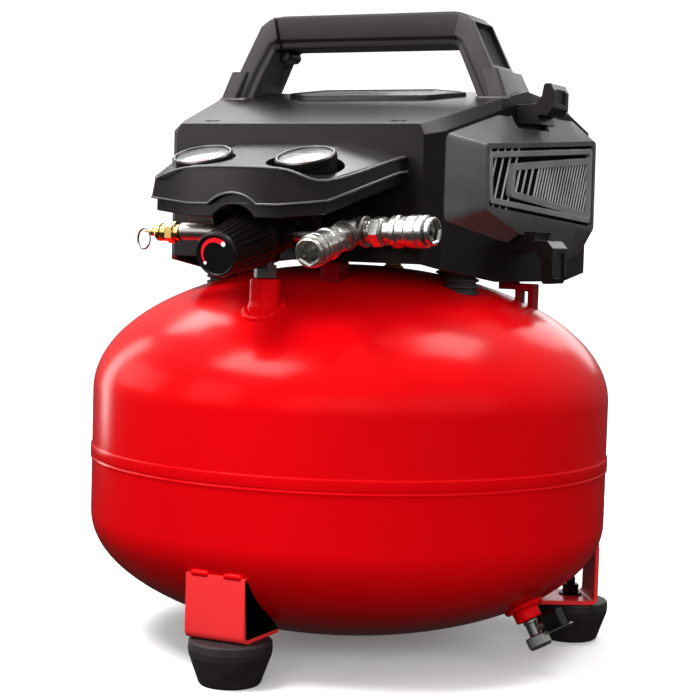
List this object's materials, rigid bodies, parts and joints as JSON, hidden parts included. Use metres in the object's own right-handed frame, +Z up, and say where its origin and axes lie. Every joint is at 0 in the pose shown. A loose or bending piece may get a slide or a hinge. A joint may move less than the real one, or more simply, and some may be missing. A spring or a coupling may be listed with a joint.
{
  "type": "pancake air compressor",
  "caption": "Portable pancake air compressor: squat steel tank on rubber feet, belt-driven pump under a vented shroud with a carrying handle, gauges, regulator knob and quick couplers.",
  "frame": {"origin": "centre of the footprint's bounding box, on the floor under the feet", "axes": "+Z up; -Y towards the gauges and the regulator knob; +X towards the grille and the cord hooks"},
  "size_m": [0.383, 0.3984, 0.464],
  "materials": {
    "red_powder_coat": "gloss powder coat",
    "black_plastic": "fine matt texture",
    "dark_grey_plastic": "fine matt texture",
    "rocker_red": "gloss",
    "black_rubber": "matt",
    "grey_isolator_rubber": "matt",
    "nickel_plated_steel": "satin nickel",
    "brass": "machined",
    "cast_aluminium": "cast",
    "motor_steel": "dark",
    "copper_tube": "bright",
    "gauge_case": "gloss",
    "needle_paint": "matt",
    "clear_lens": "clear"
  },
  "bodies": {
    "compressor": {"check_valve": "brass", "console": "black_plastic", "cord_gland": "black_rubber", "cord_hook_bottom": "black_plastic", "cord_hook_top": "black_plastic", "coupler_body_front": "nickel_plated_steel", "coupler_body_right": "nickel_plated_steel", "cylinder": "cast_aluminium", "cylinder_head": "cast_aluminium", "drain_valve": "nickel_plated_steel", "drive_belt": "black_rubber", "foot_bolt_front": "motor_steel", "foot_bolt_left": "motor_steel", "foot_bolt_right": "motor_steel", "foot_front": "black_rubber", "foot_left": "black_rubber", "foot_right": "black_rubber", "gauge_case_left": "gauge_case", "gauge_case_right": "gauge_case", "gauge_lens_left": "clear_lens", "gauge_lens_right": "clear_lens", "handle": "black_plastic", "isolator_back": "grey_isolator_rubber", "isolator_left": "grey_isolator_rubber", "isolator_right": "grey_isolator_rubber", "left_cover": "dark_grey_plastic", "leg_front": "red_powder_coat", "leg_left": "red_powder_coat", "leg_right": "red_powder_coat", "manifold": "nickel_plated_steel", "motor_can": "motor_steel", "outlet_tube": "copper_tube", "pressure_switch": "black_plastic", "pump_bracket_front": "red_powder_coat", "pump_bracket_left": "red_powder_coat", "pump_bracket_right": "red_powder_coat", "pump_frame": "cast_aluminium", "regulator_body": "black_plastic", "relief_valve": "brass", "right_cover": "dark_grey_plastic", "right_grille": "dark_grey_plastic", "riser_nipple": "nickel_plated_steel", "shroud": "black_plastic", "tank": "red_powder_coat"},
    "regulator_knob": {"regulator_knob": "black_plastic"},
    "switch_rocker": {"switch_rocker": "rocker_red"},
    "sleeve_front": {"coupler_sleeve_front": "nickel_plated_steel"},
    "sleeve_right": {"coupler_sleeve_right": "nickel_plated_steel"},
    "relief_stem": {"relief_stem": "nickel_plated_steel"},
    "relief_ring": {"relief_ring": "nickel_plated_steel"},
    "drain_lever": {"drain_lever": "black_plastic"},
    "needle_left": {"gauge_needle_left": "needle_paint"},
    "needle_right": {"gauge_needle_right": "needle_paint"},
    "crank": {"crankshaft": "motor_steel", "flywheel": "cast_aluminium"},
    "rotor": {"motor_rotor": "motor_steel", "cooling_fan": "black_plastic"},
    "rod": {"connecting_rod": "cast_aluminium"},
    "piston": {"piston": "cast_aluminium"}
  },
  "joints": [
    {"name": "knob_turn", "type": "hinge", "parent": "compressor", "child": "regulator_knob", "pos_m": [0, -0.14755, 0.29625], "axis": [0, -0.9744, -0.225], "range_deg": [-900, 900]},
    {"name": "rocker_tilt", "type": "hinge", "parent": "compressor", "child": "switch_rocker", "pos_m": [-0.0694, -0.10426, 0.317], "axis": [0, 1, 0], "range_deg": [0, 18]},
    {"name": "sleeve_front_slide", "type": "slide", "parent": "compressor", "child": "sleeve_front", "axis": [0, 0.9744, 0.225], "range_m": [0, 0.005], "stiffness_N_per_m": 500, "springref_m": -0.003},
    {"name": "sleeve_right_slide", "type": "slide", "parent": "compressor", "child": "sleeve_right", "axis": [-0.9958, 0.087, -0.03], "range_m": [0, 0.005], "stiffness_N_per_m": 500, "springref_m": -0.003},
    {"name": "relief_pull", "type": "slide", "parent": "compressor", "child": "relief_stem", "axis": [-1, 0, 0], "range_m": [0, 0.003], "stiffness_N_per_m": 800, "springref_m": -0.002},
    {"name": "ring_swing", "type": "hinge", "parent": "relief_stem", "child": "relief_ring", "pos_m": [-0.0935, -0.12926, 0.2985], "axis": [0.3584, 0.9336, 0], "range_deg": [0, 90]},
    {"name": "drain_turn", "type": "hinge", "parent": "compressor", "child": "drain_lever", "pos_m": [0.15859, -0.01341, 0.02801], "axis": [0.8656, 0, 0.5007], "range_deg": [0, 90]},
    {"name": "needle_left_sweep", "type": "hinge", "parent": "compressor", "child": "needle_left", "pos_m": [-0.039, -0.14832, 0.34664], "axis": [0, -0.342, 0.9397], "range_deg": [-270, 0], "stiffness_Nm_per_rad": 0.0004, "springref_deg": 11.46},
    {"name": "needle_right_sweep", "type": "hinge", "parent": "compressor", "child": "needle_right", "pos_m": [0.039, -0.14832, 0.34664], "axis": [0, -0.342, 0.9397], "range_deg": [-270, 0], "stiffness_Nm_per_rad": 0.0004, "springref_deg": 11.46},
    {"name": "crank_spin", "type": "hinge", "parent": "compressor", "child": "crank", "pos_m": [-0.101, 0.05273, 0.332], "axis": [1, 0, 0], "continuous": true},
    {"name": "rotor_spin", "type": "hinge", "parent": "compressor", "child": "rotor", "pos_m": [0, -0.02227, 0.336], "axis": [1, 0, 0], "continuous": true},
    {"name": "rod_swing", "type": "hinge", "parent": "crank", "child": "rod", "pos_m": [-0.06, 0.06173, 0.332], "axis": [1, 0, 0], "continuous": true},
    {"name": "piston_slide", "type": "slide", "parent": "compressor", "child": "piston", "axis": [0, -1, 0], "range_m": [0, 0.018]}
  ],
  "couplings": [
    {"joint": "rotor_spin", "follows": "crank_spin", "ratio": 4},
    {"joint": "rod_swing", "follows": "crank_spin", "ratio": -1}
  ]
}
